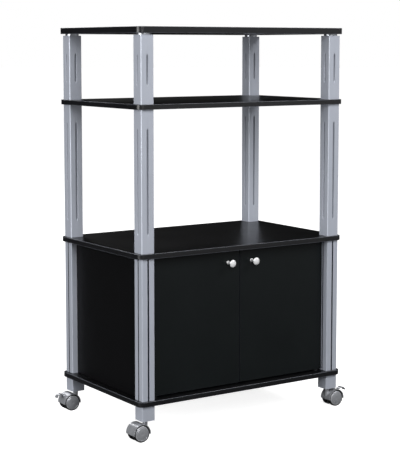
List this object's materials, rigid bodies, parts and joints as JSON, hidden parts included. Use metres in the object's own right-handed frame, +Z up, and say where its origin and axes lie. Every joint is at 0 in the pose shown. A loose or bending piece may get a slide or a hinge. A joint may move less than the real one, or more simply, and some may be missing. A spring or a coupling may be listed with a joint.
{
  "type": "kitchen island cart",
  "caption": "Rolling kitchen island cart with an open upper shelf, a tall microwave bay, a closed cabinet with hinged doors, silver square posts and swivel casters.",
  "frame": {"origin": "on the floor, midway between the side edges and the front and back edges of the boards", "axes": "+Z up, +X to the right facing the doors, -Y towards the user, out of the doors"},
  "size_m": [0.6626, 0.385, 0.964],
  "materials": {
    "black_board": "satin black melamine on board",
    "door_laminate": "satin black melamine on board",
    "panel_laminate": "black foil on thin board",
    "silver_post": "satin silver",
    "silver_collar": "satin silver",
    "black_plastic": "moulded",
    "zinc_steel": "zinc plated",
    "knob_metal": "bright satin chrome",
    "magnet": "ferrite",
    "caster_grey": "moulded grey",
    "wheel_plastic": "grey cap on a black tread"
  },
  "bodies": {
    "root": {"top_board": "black_board", "middle_shelf": "black_board", "cabinet_top": "black_board", "base_board": "black_board", "upper_post_fl": "silver_post", "upper_post_fr": "silver_post", "upper_post_bl": "silver_post", "upper_post_br": "silver_post", "middle_post_fl": "silver_post", "middle_post_fr": "silver_post", "middle_post_bl": "silver_post", "middle_post_br": "silver_post", "cabinet_post_fl": "silver_post", "cabinet_post_fr": "silver_post", "cabinet_post_bl": "silver_post", "cabinet_post_br": "silver_post", "foot_fl": "silver_post", "foot_fr": "silver_post", "foot_bl": "silver_post", "foot_br": "silver_post", "post_plugs": "black_plastic", "joining_studs": "zinc_steel", "top_collars": "silver_collar", "top_inserts": "zinc_steel", "caster_sockets": "black_plastic", "side_panel_left": "panel_laminate", "side_panel_right": "panel_laminate", "back_panel": "panel_laminate", "pivot_bushes": "black_plastic", "magnetic_catch": "black_plastic", "catch_magnets": "magnet", "caster_stems": "zinc_steel"},
    "door_left": {"door_left": "door_laminate", "knob_left": "knob_metal", "knob_screw_left": "zinc_steel", "pivot_pins_left": "zinc_steel", "strike_left": "zinc_steel"},
    "door_right": {"door_right": "door_laminate", "knob_right": "knob_metal", "knob_screw_right": "zinc_steel", "pivot_pins_right": "zinc_steel", "strike_right": "zinc_steel"},
    "caster_fl": {"caster_hood_fl": "caster_grey", "axle_fl": "zinc_steel"},
    "wheel_fl_outer": {"wheel_fl_outer": "wheel_plastic"},
    "wheel_fl_inner": {"wheel_fl_inner": "wheel_plastic"},
    "caster_fr": {"caster_hood_fr": "caster_grey", "axle_fr": "zinc_steel"},
    "wheel_fr_outer": {"wheel_fr_outer": "wheel_plastic"},
    "wheel_fr_inner": {"wheel_fr_inner": "wheel_plastic"},
    "caster_bl": {"caster_hood_bl": "caster_grey", "axle_bl": "zinc_steel"},
    "wheel_bl_outer": {"wheel_bl_outer": "wheel_plastic"},
    "wheel_bl_inner": {"wheel_bl_inner": "wheel_plastic"},
    "caster_br": {"caster_hood_br": "caster_grey", "axle_br": "zinc_steel"},
    "wheel_br_outer": {"wheel_br_outer": "wheel_plastic"},
    "wheel_br_inner": {"wheel_br_inner": "wheel_plastic"},
    "brake_lever_fr": {"brake_lever_fr": "caster_grey"},
    "brake_lever_bl": {"brake_lever_bl": "caster_grey"}
  },
  "joints": [
    {"name": "door_left_swing", "type": "hinge", "parent": "root", "child": "door_left", "pos_m": [-0.24298, -0.16, 0.263], "axis": [0, 0, -1], "range_deg": [0, 100]},
    {"name": "door_right_swing", "type": "hinge", "parent": "root", "child": "door_right", "pos_m": [0.24298, -0.16, 0.263], "axis": [0, 0, 1], "range_deg": [0, 100]},
    {"name": "caster_fl_swivel", "type": "hinge", "parent": "root", "child": "caster_fl", "pos_m": [-0.274, -0.169, 0.04], "axis": [0, 0, 1], "continuous": true},
    {"name": "wheel_fl_outer_roll", "type": "hinge", "parent": "caster_fl", "child": "wheel_fl_outer", "pos_m": [-0.292, -0.182, 0.0205], "axis": [0, 1, 0], "continuous": true},
    {"name": "wheel_fl_inner_roll", "type": "hinge", "parent": "caster_fl", "child": "wheel_fl_inner", "pos_m": [-0.292, -0.156, 0.0205], "axis": [0, 1, 0], "continuous": true},
    {"name": "caster_fr_swivel", "type": "hinge", "parent": "root", "child": "caster_fr", "pos_m": [0.274, -0.169, 0.04], "axis": [0, 0, 1], "continuous": true},
    {"name": "wheel_fr_outer_roll", "type": "hinge", "parent": "caster_fr", "child": "wheel_fr_outer", "pos_m": [0.292, -0.182, 0.0205], "axis": [0, 1, 0], "continuous": true},
    {"name": "wheel_fr_inner_roll", "type": "hinge", "parent": "caster_fr", "child": "wheel_fr_inner", "pos_m": [0.292, -0.156, 0.0205], "axis": [0, 1, 0], "continuous": true},
    {"name": "caster_bl_swivel", "type": "hinge", "parent": "root", "child": "caster_bl", "pos_m": [-0.274, 0.169, 0.04], "axis": [0, 0, 1], "continuous": true},
    {"name": "wheel_bl_outer_roll", "type": "hinge", "parent": "caster_bl", "child": "wheel_bl_outer", "pos_m": [-0.292, 0.182, 0.0205], "axis": [0, 1, 0], "continuous": true},
    {"name": "wheel_bl_inner_roll", "type": "hinge", "parent": "caster_bl", "child": "wheel_bl_inner", "pos_m": [-0.292, 0.156, 0.0205], "axis": [0, 1, 0], "continuous": true},
    {"name": "caster_br_swivel", "type": "hinge", "parent": "root", "child": "caster_br", "pos_m": [0.274, 0.169, 0.04], "axis": [0, 0, 1], "continuous": true},
    {"name": "wheel_br_outer_roll", "type": "hinge", "parent": "caster_br", "child": "wheel_br_outer", "pos_m": [0.292, 0.182, 0.0205], "axis": [0, 1, 0], "continuous": true},
    {"name": "wheel_br_inner_roll", "type": "hinge", "parent": "caster_br", "child": "wheel_br_inner", "pos_m": [0.292, 0.156, 0.0205], "axis": [0, 1, 0], "continuous": true},
    {"name": "brake_fr_press", "type": "hinge", "parent": "caster_fr", "child": "brake_lever_fr", "pos_m": [0.306, -0.169, 0.0345], "axis": [0, 1, 0], "range_deg": [0, 20]},
    {"name": "brake_bl_press", "type": "hinge", "parent": "caster_bl", "child": "brake_lever_bl", "pos_m": [-0.306, 0.169, 0.0345], "axis": [0, -1, 0], "range_deg": [0, 20]}
  ]
}
